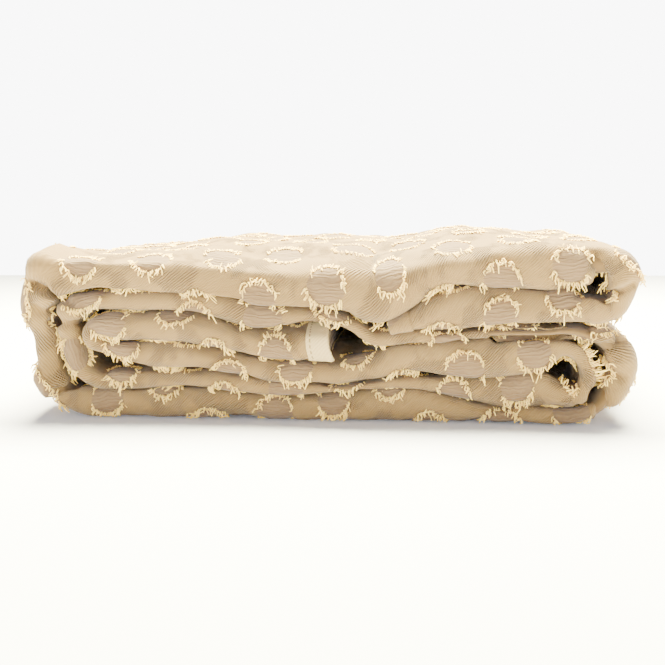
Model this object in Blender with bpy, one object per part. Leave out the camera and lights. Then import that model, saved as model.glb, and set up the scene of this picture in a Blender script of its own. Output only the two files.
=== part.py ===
"""A bedspread, folded lengthwise into a strip of eight plies and wound flat into a bundle.

The strip is one solid. Its path lies in the XZ plane: seven long runs one above the other, joined
by six folds. A section with rounded front and back edges is swept along that path, and the stack
is then raised towards the middle of its depth. Z = 0 is the surface that the bundle rests on.
"""
import math

import bmesh
import bpy
import numpy as np

MM = 0.001

STRIP_WIDTH = 286.0
LAYER_GAP = 1.3
EDGE_DEPTH = 11.0
EDGE_POWER = 2.4
CREST_POWER = 3.5
HEM_LENGTH = 15.0
HEM_SWELL = 1.0
FREE_END_X = -3.0
HIDDEN_END_X = 40.0
REST_SNAP = 0.35
SLOPE_REACH = 6.0
KNOT_STEP = 16.0
SPAN_STEP = 17.0
FOLD_TURN = math.radians(25.0)

FRONT_ARC_STEPS = 7
BACK_ARC_STEPS = 6
INNER_COLUMNS = (-118.0, -82.0, -30.0, 30.0, 82.0, 118.0)

# Thickness of each run, in mm, at these places along X. Rows go up from the floor.
STATION_X = (-178, -135, -92, -49, -18, 12, 45, 72, 110, 150, 180)
THICKNESS = {
    "bottom":  (18.0, 20.0, 20.0, 16.5, 16.5, 18.0, 22.0, 19.0, 11.5, 9.0, 9.0),
    "third":   (12.0, 12.0, 10.5, 9.7, 6.5, 5.5, 6.0, 10.5, 17.5, 24.0, 24.0),
    "second":  (9.0, 16.0, 16.0, 12.3, 13.8, 14.0, 18.0, 21.0, 25.0, 21.5, 21.5),
    "first":   (16.0, 18.5, 17.5, 17.0, 21.0, 21.0, 21.0, 21.0, 21.0, 21.0, 21.0),
    "fourth":  (15.0, 13.0, 14.0, 16.0, 8.5, 8.5, 9.0, 5.5, 5.0, 6.0, 12.0),
    "seventh": (9.0, 9.0, 9.0, 9.0, 9.0, 9.0, 9.0, 23.5, 24.0, 22.5, 22.0),
    "sixth":   (19.0, 20.0, 20.0, 22.0, 23.0, 25.0, 31.0, 23.0, 26.0, 28.0, 25.0),
}
# Open air under a run, beyond the plain gap, at the same places.
AIR_UNDER = {
    "second": (15.0, 2.0, 0.0, 0.0, 0.0, 0.0, 0.0, 0.0, 0.0, 0.0, 0.0),
    "first":  (0.0, 0.0, 2.0, 0.5, 0.0, 0.0, 0.0, 0.0, 0.0, 0.0, 0.0),
    "fourth": (0.0, 0.0, 0.0, 0.3, 2.2, 1.2, 0.3, 0.0, 0.0, 0.0, 0.0),
    "sixth":  (0.0, 0.0, 0.0, 0.3, 1.6, 2.0, 2.0, 1.5, 0.5, 1.0, 2.0),
}
# The first run holds the stack up as far as its free end, the seventh from its hidden end on.
FIRST_FADES = (0.0, 38.0)
SEVENTH_RISES = (-6.0, 36.0)

# Slow waves that make the bundle's ends and long sides uneven: size, span and where they begin.
END_WAVE, END_WAVE_SPAN, END_WAVE_RISE, END_PHASE = 2.5, 42.0, 30.0, 1.1
END_ZONE = (120.0, 205.0)
SIDE_WAVE, SIDE_WAVE_SPAN, SIDE_WAVE_RISE = 1.3, 31.0, 24.0
SIDE_ZONE = (90.0, 140.0)

# How far the top rises from its front edge to the middle of its depth.
CREST_RISE = (5.0, 9.0, 17.0, 21.0, 23.0, 20.0, 17.0, 17.0, 13.0, 6.0, 5.0)

# The runs in the order of the cloth, with the way each one heads and where it starts and stops.
RUN_ORDER = (
    ("first", FREE_END_X, -150.0),
    ("second", -135.0, 140.0),
    ("third", 140.0, -150.0),
    ("fourth", -150.0, 160.0),
    ("bottom", 150.0, -165.0),
    ("sixth", -165.0, 160.0),
    ("seventh", 160.0, HIDDEN_END_X),
)
# The folds between those runs: for each point on the middle of the strip its x, z and thickness.
FOLDS = (
    ("tongue tip", ((-162.5, 65.0, 12.0), (-167.2, 63.1, 10.5), (-169.2, 58.4, 10.0),
                    (-167.2, 53.7, 9.5), (-162.5, 51.6, 9.0), (-150.0, 47.6, 10.5))),
    ("right inner fold", ((153.0, 50.5, 14.0), (163.0, 49.0, 11.0), (170.5, 42.0, 11.0),
                          (173.5, 32.0, 11.5), (171.0, 22.0, 12.0), (162.5, 17.5, 13.0),
                          (152.0, 19.5, 16.5))),
    ("left inner column", ((-165.0, 25.8, 12.0), (-177.0, 30.5, 13.0), (-183.5, 42.5, 14.5),
                           (-185.0, 56.0, 14.5), (-182.5, 69.5, 15.0), (-174.0, 78.5, 15.0),
                           (-162.0, 81.3, 14.5))),
    ("right column", ((178.0, 57.5, 12.0), (188.0, 51.5, 16.0), (193.0, 41.0, 19.0),
                      (193.0, 30.0, 19.0), (188.0, 18.5, 17.0), (178.5, 8.8, 12.5),
                      (165.0, 4.8, 9.5))),
    ("left outer column", ((-178.0, 9.6, 19.0), (-192.0, 13.5, 18.0), (-200.5, 25.0, 17.0),
                           (-202.0, 42.0, 15.5), (-203.5, 59.0, 16.5), (-206.5, 76.0, 20.0),
                           (-204.5, 90.0, 20.0), (-194.5, 98.5, 19.0), (-180.0, 99.5, 19.0))),
    ("right top fold", ((178.0, 107.0, 23.0), (189.5, 103.0, 20.0), (195.5, 93.5, 18.0),
                        (193.0, 83.0, 17.5), (183.5, 77.0, 19.0), (172.0, 77.5, 21.5))),
)

# How far each run's front edge stands in front of the plain one (minus) or behind it (plus).
FRONT_SHIFT = {
    "first": -3.0, "second": -1.0, "third": 1.0, "fourth": 3.0, "bottom": 1.5, "sixth": 0.5,
    "seventh": 0.0,
}
BACK_SHIFT = {
    "first": -4.0, "second": 2.0, "third": -2.0, "fourth": 3.0, "bottom": -1.0, "sixth": 2.5,
    "seventh": -3.0,
}


def at_station(row, x):
    """A table row's value at the place x, on a smooth curve through the row."""
    places = np.array(STATION_X, dtype=float)
    values = np.array(row, dtype=float)
    slopes = np.gradient(values, places)
    x = np.clip(x, places[0], places[-1])
    left = np.clip(np.searchsorted(places, x, side="right") - 1, 0, len(places) - 2)
    span = places[left + 1] - places[left]
    t = (x - places[left]) / span
    start = (1.0 + 2.0 * t) * (1.0 - t) ** 2 * values[left] + t * (1.0 - t) ** 2 * span * slopes[left]
    end = t * t * (3.0 - 2.0 * t) * values[left + 1] + t * t * (t - 1.0) * span * slopes[left + 1]
    return start + end


def smooth_step(low, high, x):
    """From 0 at low to 1 at high, with level ends."""
    t = np.clip((x - low) / (high - low), 0.0, 1.0)
    return t * t * (3.0 - 2.0 * t)


def run_weight(name, x):
    """How much of a run's thickness the stack feels at x."""
    if name == "first":
        return 1.0 - smooth_step(*FIRST_FADES, x)
    if name == "seventh":
        return smooth_step(*SEVENTH_RISES, x)
    return 1.0


def run_middle(name, x):
    """Height of a run's middle and its thickness at x, stacked from the floor."""
    floor = 0.0
    for below, row in THICKNESS.items():
        if below in AIR_UNDER:
            floor += at_station(AIR_UNDER[below], x)
        thick = at_station(row, x)
        if below == name:
            return floor + thick / 2.0, thick
        floor += run_weight(below, x) * (thick + LAYER_GAP)
    raise ValueError(name)


def run_knot(name, x):
    """A knot of one run: x, z, thickness across the slope, front shift and back shift."""
    middle, upright = run_middle(name, x)
    climb = run_middle(name, x + SLOPE_REACH)[0] - run_middle(name, x - SLOPE_REACH)[0]
    thick = upright * math.cos(math.atan2(climb, 2.0 * SLOPE_REACH))
    return (x, middle, thick, FRONT_SHIFT[name], BACK_SHIFT[name])


def run_knots(name, start, stop):
    """Knots of one run from start to stop, at evenly spread places between them."""
    count = round(abs(stop - start) / KNOT_STEP)
    return [run_knot(name, x) for x in np.linspace(start, stop, count + 1)]


def path_knots():
    """All knots of the strip: x, z, thickness, front shift and back shift."""
    knots = []
    for index, (name, start, stop) in enumerate(RUN_ORDER):
        knots += run_knots(name, start, stop)
        if index < len(FOLDS):
            after = RUN_ORDER[index + 1][0]
            front = (FRONT_SHIFT[name] + FRONT_SHIFT[after]) / 2.0
            back = (BACK_SHIFT[name] + BACK_SHIFT[after]) / 2.0
            knots += [(x, z, thick, front, back) for x, z, thick in FOLDS[index][1]]
    return np.array(knots)


def through_knots(knots, step):
    """A smooth curve through the knots: a centripetal Catmull-Rom spline."""
    ends = (2.0 * knots[0] - knots[1], 2.0 * knots[-1] - knots[-2])
    rows = np.vstack([ends[0], knots, ends[1]])
    samples = []
    for p0, p1, p2, p3 in zip(rows, rows[1:], rows[2:], rows[3:]):
        t0 = 0.0
        t1 = t0 + math.dist(p0[:2], p1[:2]) ** 0.5
        t2 = t1 + math.dist(p1[:2], p2[:2]) ** 0.5
        t3 = t2 + math.dist(p2[:2], p3[:2]) ** 0.5
        turn = math.atan2(*(p3 - p2)[:2]) - math.atan2(*(p1 - p0)[:2])
        bent = abs(math.remainder(turn, math.tau)) > FOLD_TURN
        count = max(2 if bent else 1, round(math.dist(p1[:2], p2[:2]) / step))
        for t in np.linspace(t1, t2, count, endpoint=False):
            a1 = (t1 - t) / (t1 - t0) * p0 + (t - t0) / (t1 - t0) * p1
            a2 = (t2 - t) / (t2 - t1) * p1 + (t - t1) / (t2 - t1) * p2
            a3 = (t3 - t) / (t3 - t2) * p2 + (t - t2) / (t3 - t2) * p3
            b1 = (t2 - t) / (t2 - t0) * a1 + (t - t0) / (t2 - t0) * a2
            b2 = (t3 - t) / (t3 - t1) * a2 + (t - t1) / (t3 - t1) * a3
            samples.append((t2 - t) / (t2 - t1) * b1 + (t - t1) / (t2 - t1) * b2)
    samples.append(knots[-1])
    return np.array(samples)


def side_normals(path):
    """Unit normals in the XZ plane, to the left of the way the strip heads."""
    ahead = np.gradient(path[:, :2], axis=0)
    ahead /= np.linalg.norm(ahead, axis=1, keepdims=True)
    return np.column_stack([-ahead[:, 1], ahead[:, 0]])


def settle(points):
    """Points of the straight stack, moved to where they lie in the crowned, uneven bundle."""
    x, y, z = points.T
    middle, thick = run_middle("sixth", x)
    across = np.minimum(np.abs(y) / (STRIP_WIDTH / 2.0), 1.0)
    rise = at_station(CREST_RISE, x) * (1.0 - across ** CREST_POWER)
    high = z * (1.0 + rise / (middle + thick / 2.0))
    end_share = smooth_step(*END_ZONE, np.abs(x))
    side_share = smooth_step(*SIDE_ZONE, np.abs(y))
    out_x = END_WAVE * np.sin(y / END_WAVE_SPAN + z / END_WAVE_RISE + END_PHASE * np.sign(x))
    out_y = SIDE_WAVE * np.sin(x / SIDE_WAVE_SPAN + z / SIDE_WAVE_RISE)
    return np.column_stack([x + end_share * out_x, y + side_share * out_y, high])


def edge_arc(steps):
    """Depth and height of a rounded edge, both from 0 to 1, from one face to the other."""
    arc = []
    for index in range(steps):
        angle = math.pi * (index / (steps - 1) - 0.5)
        power = 2.0 / EDGE_POWER
        out = math.cos(angle) ** power if abs(angle) < math.pi / 2 - 1e-6 else 0.0
        up = math.copysign(abs(math.sin(angle)) ** power, angle)
        arc.append((out, up))
    return arc


def section(thick, front_shift, back_shift):
    """Outline of the strip's section: pairs of y and height off its middle, in order."""
    half = thick / 2.0
    depth = min(EDGE_DEPTH, 0.75 * thick)
    front = -STRIP_WIDTH / 2.0 + front_shift
    back = STRIP_WIDTH / 2.0 + back_shift
    outline = [(front + depth * (1.0 - out), half * up) for out, up in edge_arc(FRONT_ARC_STEPS)]
    outline += [(y, half) for y in INNER_COLUMNS]
    outline += [(back - depth * (1.0 - out), -half * up) for out, up in edge_arc(BACK_ARC_STEPS)]
    outline += [(y, -half) for y in reversed(INNER_COLUMNS)]
    return outline


def distance_along(path):
    """Distance from the strip's free end to each station of its path."""
    steps = np.linalg.norm(np.diff(path[:, :2], axis=0), axis=1)
    return np.concatenate([[0.0], np.cumsum(steps)])


def strip_path():
    """The strip's path, with close stations at the inner edge of the hem, which is thicker."""
    path = through_knots(path_knots(), SPAN_STEP)
    along = distance_along(path)
    hem_edge = (HEM_LENGTH - 1.0, HEM_LENGTH + 1.0)
    clear = (along < hem_edge[0] - 3.0) | (along > hem_edge[1] + 3.0)
    places = np.sort(np.concatenate([along[clear], hem_edge]))
    path = np.column_stack([np.interp(places, along, column) for column in path.T])
    path[:, 2] += np.where(places < HEM_LENGTH, HEM_SWELL, 0.0)
    return path


def ring_points(path):
    """Points of all sections, over the middle of the bundle's box, and how many each has."""
    rings = []
    for (x, z, thick, front, back), (nx, nz) in zip(path, side_normals(path)):
        outline = np.array(section(thick, front, back))
        y, off = outline.T
        rings.append(np.column_stack([x + nx * off, y, z + nz * off]))
    points = np.vstack(rings)
    points[points[:, 2] < REST_SNAP, 2] = 0.0
    points = settle(points)
    points[:, :2] -= (points.min(axis=0) + points.max(axis=0))[:2] / 2.0
    return points * MM, len(rings[0])


def build_strip():
    """The swept solid as a mesh."""
    points, around = ring_points(strip_path())
    mesh = bmesh.new()
    verts = [mesh.verts.new(point) for point in points]
    rings = [verts[start:start + around] for start in range(0, len(verts), around)]
    for ring, after in zip(rings, rings[1:]):
        for index in range(around):
            following = (index + 1) % around
            mesh.faces.new((ring[index], ring[following], after[following], after[index]))
    mesh.faces.new(rings[0][::-1])
    mesh.faces.new(rings[-1])
    bmesh.ops.recalc_face_normals(mesh, faces=mesh.faces)
    return mesh


def cloth_material():
    """Beige cotton cloth."""
    material = bpy.data.materials.new("cotton_twill")
    material.use_nodes = True
    shader = material.node_tree.nodes["Principled BSDF"]
    shader.inputs["Base Color"].default_value = (0.58, 0.45, 0.31, 1.0)
    shader.inputs["Roughness"].default_value = 0.9
    shader.inputs["Metallic"].default_value = 0.0
    return material


def main():
    for old in list(bpy.data.objects):
        bpy.data.objects.remove(old, do_unlink=True)
    data = bpy.data.meshes.new("bedspread")
    strip = build_strip()
    strip.to_mesh(data)
    strip.free()
    data.shade_smooth()
    data.materials.append(cloth_material())
    bedspread = bpy.data.objects.new("bedspread", data)
    bpy.context.scene.collection.objects.link(bedspread)


main()
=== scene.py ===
"""Looks of a bedspread that is folded into a strip of eight plies and wound flat into a bundle.

The cloth is one thin sheet. Across the strip it goes back and forth through the eight plies, and
along the strip it follows the same path as the model's solid. Lengths are in mm up to the point
where a mesh is made, and MM turns them into metres. The cloth's own coordinates are "along", from
the free end, and "across", from one side hem to the other.
"""
import math

import bpy
import numpy as np
from mathutils import Matrix, Vector


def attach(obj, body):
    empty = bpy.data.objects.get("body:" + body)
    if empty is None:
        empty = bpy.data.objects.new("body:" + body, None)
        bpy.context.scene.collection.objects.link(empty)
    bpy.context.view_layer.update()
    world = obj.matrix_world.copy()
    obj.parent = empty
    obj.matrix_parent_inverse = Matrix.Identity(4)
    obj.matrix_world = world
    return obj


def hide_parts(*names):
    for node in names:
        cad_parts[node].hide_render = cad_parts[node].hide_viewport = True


MM = 0.001

# The strip, as in the model.
STRIP_WIDTH = 286.0
LAYER_GAP = 1.3
EDGE_DEPTH = 11.0
EDGE_POWER, ROUND_POWER = 2.4, 2.0
CREST_POWER = 3.5
FREE_END_X = -3.0
HIDDEN_END_X = 40.0
REST_SNAP = 0.35
SLOPE_REACH = 6.0
KNOT_STEP = 16.0
FOLD_TURN = math.radians(25.0)
# The stage's column in the strip's rows, after x, z, thickness, front shift and back shift.
STAGE = 5

# Thickness of each run, in mm, at these places along X. Rows go up from the floor.
STATION_X = (-178, -135, -92, -49, -18, 12, 45, 72, 110, 150, 180)
THICKNESS = {
    "bottom":  (18, 20, 20, 16.5, 16.5, 18, 22, 19, 11.5, 9, 9),
    "third":   (12, 12, 10.5, 9.7, 6.5, 5.5, 6, 10.5, 17.5, 24, 24),
    "second":  (9, 16, 16, 12.3, 13.8, 14, 18, 21, 25, 21.5, 21.5),
    "first":   (16, 18.5, 17.5, 17, 21, 21, 21, 21, 21, 21, 21),
    "fourth":  (15, 13, 14, 16, 8.5, 8.5, 9, 5.5, 5, 6, 12),
    "seventh": (9, 9, 9, 9, 9, 9, 9, 23.5, 24, 22.5, 22),
    "sixth":   (19, 20, 20, 22, 23, 25, 31, 23, 26, 28, 25),
}
# Open air under a run, beyond the plain gap, at the same places.
AIR_UNDER = {
    "second": (15, 2, 0, 0, 0, 0, 0, 0, 0, 0, 0),
    "first":  (0, 0, 2, 0.5, 0, 0, 0, 0, 0, 0, 0),
    "fourth": (0, 0, 0, 0.3, 2.2, 1.2, 0.3, 0, 0, 0, 0),
    "sixth":  (0, 0, 0, 0.3, 1.6, 2, 2, 1.5, 0.5, 1, 2),
}
# The first run holds the stack up as far as its free end, the seventh from its hidden end on.
FIRST_FADES = (0.0, 38.0)
SEVENTH_RISES = (-6.0, 36.0)

# Slow waves that make the bundle's ends and long sides uneven: size, span and where they begin.
END_WAVE, END_WAVE_SPAN, END_WAVE_RISE, END_PHASE = 2.5, 42.0, 30.0, 1.1
END_ZONE = (120.0, 205.0)
SIDE_WAVE, SIDE_WAVE_SPAN, SIDE_WAVE_RISE = 1.3, 31.0, 24.0
SIDE_ZONE = (90.0, 140.0)

# How far the top rises from its front edge to the middle of its depth.
CREST_RISE = (5.0, 9.0, 17.0, 21.0, 23.0, 20.0, 17.0, 17.0, 13.0, 6.0, 5.0)

# The runs in the order of the cloth, with the way each one heads and where it starts and stops.
RUN_ORDER = (
    ("first", FREE_END_X, -150),
    ("second", -135, 140),
    ("third", 140, -150),
    ("fourth", -150, 160),
    ("bottom", 150, -165),
    ("sixth", -165, 160),
    ("seventh", 160, HIDDEN_END_X),
)
# The folds between those runs: for each point on the middle of the strip its x, z and thickness.
FOLDS = (
    # Inner fold's tip.
    ((-162.5, 65, 12), (-167.2, 63.1, 10.5), (-169.2, 58.4, 10), (-167.2, 53.7, 9.5),
     (-162.5, 51.6, 9), (-150, 47.6, 10.5)),
    # Right inner fold.
    ((153, 50.5, 14), (163, 49, 11), (170.5, 42, 11), (173.5, 32, 11.5),
     (171, 22, 12), (162.5, 17.5, 13), (152, 19.5, 16.5)),
    # Left inner column.
    ((-165, 25.8, 12), (-177, 30.5, 13), (-183.5, 42.5, 14.5), (-185, 56, 14.5),
     (-182.5, 69.5, 15), (-174, 78.5, 15), (-162, 81.3, 14.5)),
    # Right column.
    ((178, 57.5, 12), (188, 51.5, 16), (193, 41, 19), (193, 30, 19),
     (188, 18.5, 17), (178.5, 8.8, 12.5), (165, 4.8, 9.5)),
    # Left outer column.
    ((-178, 9.6, 19), (-192, 13.5, 18), (-200.5, 25, 17), (-202, 42, 15.5),
     (-203.5, 59, 16.5), (-206.5, 76, 20), (-204.5, 90, 20), (-194.5, 98.5, 19),
     (-180, 99.5, 19)),
    # Right top fold.
    ((178, 107, 23), (189.5, 103, 20), (195.5, 93.5, 18), (193, 83, 17.5),
     (183.5, 77, 19), (172, 77.5, 21.5)),
)

# How far each run's front and back edges are shifted towards the back.
SHIFTS = {
    "first": (-3, -4), "second": (-1, 2), "third": (1, -2), "fourth": (3, 3),
    "bottom": (1.5, -1), "sixth": (0.5, 2.5), "seventh": (0, -3),
}

# The sheet. Every COARSE_STEP-th of its rows goes on through the hidden plies.
PLIES = 8
FINE_STEP = 2.0
FINE_ROWS = 985
COARSE_STEP = 3
INNER_FACE_Y = (125, 98, 70, 40, 10, -20, -50, -78, -98, -111, -119, -126)
OUTER_FACE_Y = (-127, -122, -117, -112, -106, -100, -94, -87, -80, -72, -64, -55, -46, -36, -26,
                -15, -4, 8, 20, 32, 44, 56, 68, 79, 90, 100, 109, 117, 124)
HIDDEN_PLY_Y = (112, 75, 30, -25, -72, -108)
HIDDEN_SHARE = 0.85
EDGE_SHARE = 0.75
OUTER_BEND_STEPS = 19
BACK_BEND_STEPS = 8
BACK_INSET = 2.0
# Section columns: the middle of the front fold, those that show in front, and the back fold.
FRONT_MIDDLE = 24
FRONT_COLUMNS = (13, 36)
BACK_COLUMN = 61
# The folds between hidden plies: from ply, to ply, plies further in than the outer fold, columns.
FIRST_HIDDEN, LAST_HIDDEN = 5, 2
HIDDEN_FOLDS = (
    (FIRST_HIDDEN, 4, 3, 4),
    (4, 3, 0.5, 3),
    (3, 6, 2, 6),
    (6, 7, 1.2, 4),
    (7, LAST_HIDDEN, 1, 8),
)
# A side hem: distance in from the edge and height over the ply.
HEM_TURN = ((14, 1.1), (4, 1.1), (0, 0.5))
# The hem at each end of the strip: distance back from the end and rise over the cloth.
END_HEM_TURN = ((-0.8, 0.45), (0.4, 0.95), (5, 1), (10, 1), (13.6, 1.1), (15, 0.7))
# How far the free end reaches out at each distance round its front fold, from top to bottom.
END_SLANT = ((-14, 0), (-8, 0.3), (0, 1.6), (8, 4.6), (13, 1.5), (20, 0))
END_SLANT_FADE = 18
STITCH_BACK = 12.0
# The sixth run's left end, in stages of the path, where its front edge is creased square.
SHARP_STAGES, SHARP_FADES = (9.8, 10.7), (0.4, 0.5)
SHARP_POWER = 4.0

# The dots lie on a lattice of equal triangles that is turned a little from the strip's direction.
DOT_PITCH = 48.0
DOT_ROW = DOT_PITCH * math.sqrt(3.0) / 2.0
LATTICE_TURN = math.radians(14.0)
DOT_RADIUS = 13.0
DOT_PUFF, DOT_GROOVE, DOT_GROOVE_WIDTH = 0.7, 0.6, 1.6
# Where dots lie on the front of each run: x, and height from the middle of the run's front edge.
DOT_PLACES = {
    "first": ((-37, -3.5), (-110, 18.6)),
    "second": ((-70.7, -9.2), (-24.5, 8.1), (89.5, -6.9), (137.5, 4.3)),
    "third": ((125.5, 4.8), (-74, -12), (-148, 11)),
    "fourth": ((-95.8, -10.6), (-47.5, 0)),
    "bottom": ((115.5, -8), (67.5, -15.6), (-38, -4), (-88, -15.5), (-158, 6.5)),
    "sixth": ((-127.5, 18), (-78, 24.5), (-51, -6), (43.5, 14), (71.5, -20),
              (113.5, -6.4), (158.5, 0)),
    "seventh": ((156, 12.3), (113.5, -4), (71.5, -18.6)),
}
# Dots on the end folds: stage of the path, and distance across, plus towards the outer side.
FOLD_DOTS = ((5.39, -4.5), (5.79, 10), (9.27, 15.5), (9.63, 16), (9.929, 12), (11.3, 19))

# Slow relief of the cloth: span, height and how many waves.
WAVES = ((60.0, 1.1, 8), (26.0, 0.5, 10), (12.0, 0.18, 12))
WAVE_SEED, WAVE_TURN, WAVE_SPANS = 5, 0.6, (0.7, 1.4)
# Creases on the front, seen flat: width, depth (minus for a ridge) and points of x and z.
FRONT_CREASES = (
    (2.2, 10.5, ((-209, 94.5), (-200, 91), (-194.6, 86), (-191, 81))),
    (2, 4, ((-191, 80.4), (-182, 79.7))),
    (3, 4.5, ((-208, 78), (-203, 75), (-198, 76), (-194, 82))),
    (7, -1.6, ((-208, 86), (-202, 85))),
    (2.4, 9, ((-184, 22.5), (-187, 22), (-193.4, 19.8), (-197.7, 16.4), (-199.4, 12))),
    (2.4, 5.5, ((-198, 67), (-188, 67), (-177, 66))),
    (5, -3.5, ((-191, 80), (-192, 62))),
    (3.2, 8, ((173, 114), (177, 105), (179, 97))),
    (4, 9, ((180, 97), (181.5, 91))),
    (6, -2.5, ((168, 112), (170, 98))),
    (7, -2.5, ((191, 110), (193, 100))),
    (7, -4.5, ((188, 93), (188, 84))),
    (2.4, 6, ((164, 88.5), (182, 90))),
    (4, -1.5, ((96, 89.5), (126, 89.5), (152, 89))),
    (9, -6.5, ((-192, 84), (-187, 80))),
    (2.4, 5, ((183, 85), (190, 90), (198, 95))),
    (3, 2, ((172, 92), (182, 84), (190, 80))),
    (3.6, 13, ((112, 61.5), (140, 62.5), (160, 63.5), (170, 62))),
    (2.6, 7, ((179, 51), (187, 54), (193, 58))),
    (2.4, 5.5, ((184, 37), (189, 34), (193, 32))),
    (4.5, 8, ((178, 20), (182, 13), (184, 7))),
    (1.6, 1.5, ((155.6, 20), (161, 16), (166, 12))),
    (3.5, -1.6, ((42, 86), (51.7, 94.5), (54.3, 102), (73, 106), (93, 108.8), (110, 113))),
)
# Where they fade out behind the front, in y.
FRONT_FADE = (-118.0, -96.0)
# Creases on the top: width, depth and points of x and y. The top begins and ends at these stages.
TOP_BEGINS, TOP_ENDS = (9.9, 10.1), (11.0, 11.2)
TOP_CREASES = (
    (9, 1.6, ((-160, -60), (-90, -30), (-20, -45))),
    (8, 1.4, ((-120, 40), (-50, 70), (30, 60))),
    (7, 1.5, ((20, -120), (45, -60), (60, 20))),
    (9, 1.6, ((70, 80), (120, 30), (165, -20))),
    (28, -3.5, ((25, -150), (25, 150))),
)
# The top's front left corner stands up square: width, depth (minus for a ridge), points of x and z.
CORNER_RIDGES = (
    (9.5, -12.5, ((-206, 109), (-202, 111))),
)
CORNER_FADE, CORNER_STAGES = (-105.0, -35.0), (9.0, 10.5)
# Where the ends stand out (minus) or draw in, at all depths: width, depth and points of x and z.
# They work on the strip's outer turns, from this stage on.
OUTER_TURNS = 7.0
END_SHIFTS = (
    (9, 3.5, ((207, 90), (203, 80))),
    (9, -3.5, ((203, 54), (207, 40))),
    (8.5, -5.5, ((-206, 26), (-201, 15))),
    (9, -2, ((-208, 45), (-207, 32))),
)
# The lower ply that hangs into the hollow at the left, behind the front edge.
SAG_X, SAG_Y, SAG_WIDTH, SAG_DEPTH = (-172.0, -118.0), -110.0, 13.0, 11.0
SAG_STAGES = (2.0, 3.0)

# Cut yarns round the dots, along the arcs that face across the strip.
YARN_SEED = 11
ARC_REACH = math.radians(70.0)
YARNS_PER_ARC = 33
ARC_TILT, TURN_JITTER, RADIUS_JITTER = 0.16, 0.02, 0.35
YARNS_MISSING = 0.05
YARN_LENGTH = (3.8, 7.2)
LONG_YARNS, LONG_STRETCH = 0.12, 1.5
YARN_SWAY = 0.42
# How a yarn sets out: its shares away from the dot and out of the cloth, and their spread.
AWAY_SHARE, OUT_SHARE, START_SPREAD = 0.5, 0.9, 0.4
AWAY_LEAN, YARN_BEND = 0.5, 0.6
# How it ends: it hangs, comes off an underside, or lies down where the cloth faces up.
HANG_OUT, END_SPREAD = 0.25, 0.38
UNDERSIDE, UNDER_PULL = (-0.1, -0.7), 0.6
LYING, LYING_CALM, LYING_SHORTER = (0.45, 0.85), 0.7, 0.35
LYING_LIFT, LYING_AHEAD, LYING_SINK = 0.35, 0.1, 0.15
INWARD_YARNS = 0.12
YARN_RADIUS = (0.52, 0.82)
YARN_TIP = 0.65
YARN_SIDES = 3
YARN_STEPS = 5
YARN_LIFT = 0.3
YARN_FLOOR = 0.9
# The yarns on the right inner fold stand out sideways instead of hanging.
SPRAY_STAGES = (3.25, 3.85)
SPRAY_OUT, SPRAY_SPREAD = (1.0, 0.45, 0.6), 0.3
SPRAY_LENGTH = 1.35
FRINGE_PIECES = 4
DOTS_SPARE = 12
# Stages of the path where the highest ply is open to the air.
OPEN_STAGES = ((7.15, 7.9), (9.1, 11.85))

CLOTH_MAP = "cloth"
PLAIN_PLACE = (19.9, 19.3)
WALE_ACROSS = 2.1
RIPPLE_PITCH = 2.6
RIPPLE_STRETCH = (4.5, 11.0, 1.0)
RIPPLE_BEND = 15.0
RIPPLE_SHARE = 0.5
WANDER_SCALE, WANDER = 6.0, 0.05
DOT_EDGE = 0.5
# The twill shows up in patches: how close these lie, and how much painted shade darkens the furrows
# in and out of them.
PATCH_SCALE, PATCH_EDGE = 2.2, (0.48, 0.6)
PATCH_PAINTED_SHADE, PLAIN_PAINTED_SHADE = 0.46, 0.14
PATCH_RIB, PLAIN_RIB = 0.9, 0.35
# The row of stitches on a turned end hem: half its width, and the length of a stitch and its gap.
STITCH_WIDTH, STITCH_STEP, STITCH_SHARE = 0.5, 3.6, 0.6
STITCH_SHADE = 0.6
# How much painted light the crests of the wales get on the turned face.
TURNED_PAINTED_LIGHT_SHARE = 0.3
# Scales of the slow change of the cloth's tone, and of the yarns' tone and grain.
TONE_SCALE, YARN_TONE_SCALE, YARN_GRAIN_SCALE = 14.0, 90.0, 1500.0
# Each material's roughness and sheen, and its bump's distance in metres and strength.
CLOTH_FINISH, CLOTH_BUMP = (0.92, 0.12), (0.0007, 0.9)
TURNED_FINISH, TURNED_BUMP = (0.92, 0.1), (0.0004, 0.6)
YARN_FINISH, YARN_BUMP = (0.9, 0.2), (0.0003, 0.4)
SHEEN_ROUGHNESS, SPECULAR = 0.6, 0.2
GROUND_LIGHT = (0.225, 0.141, 0.050, 1.0)
GROUND_DARK = (0.187, 0.114, 0.039, 1.0)
# Painted shade in the twill's furrows; the same dark colour also marks the real stitches on the hem.
FURROW_PAINTED_SHADE_AND_STITCH = (0.055, 0.027, 0.010, 1.0)
# The dots: their own greyer tone, darkened further as painted shade for their duller sheen, and
# painted light on their ripples' crests.
DOT_TONE_AND_PAINTED_SHADE = (0.138, 0.085, 0.041, 1.0)
DOT_RIPPLE_PAINTED_LIGHT = (0.182, 0.116, 0.058, 1.0)
TURNED = (0.44, 0.32, 0.145, 1.0)
# Painted light on the crests of the turned face's wales.
TURNED_PAINTED_LIGHT = (0.56, 0.43, 0.21, 1.0)
YARN_LIGHT = (0.98, 0.72, 0.20, 1.0)
YARN_DARK = (0.82, 0.52, 0.10, 1.0)

FLOOR_COLOUR = (0.80, 0.83, 0.93, 1.0)
FLOOR_HALF = 1.4
FLOOR_DROP = 0.3
WORLD_COLOUR = (1.0, 1.0, 1.0, 1.0)
# The world's strength near the horizon and higher up, and the sines of the heights between them.
HORIZON_STRENGTH, SKY_STRENGTH = 9.0, 0.4
HORIZON_TOP, SKY_START = 0.20, 0.30
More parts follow.
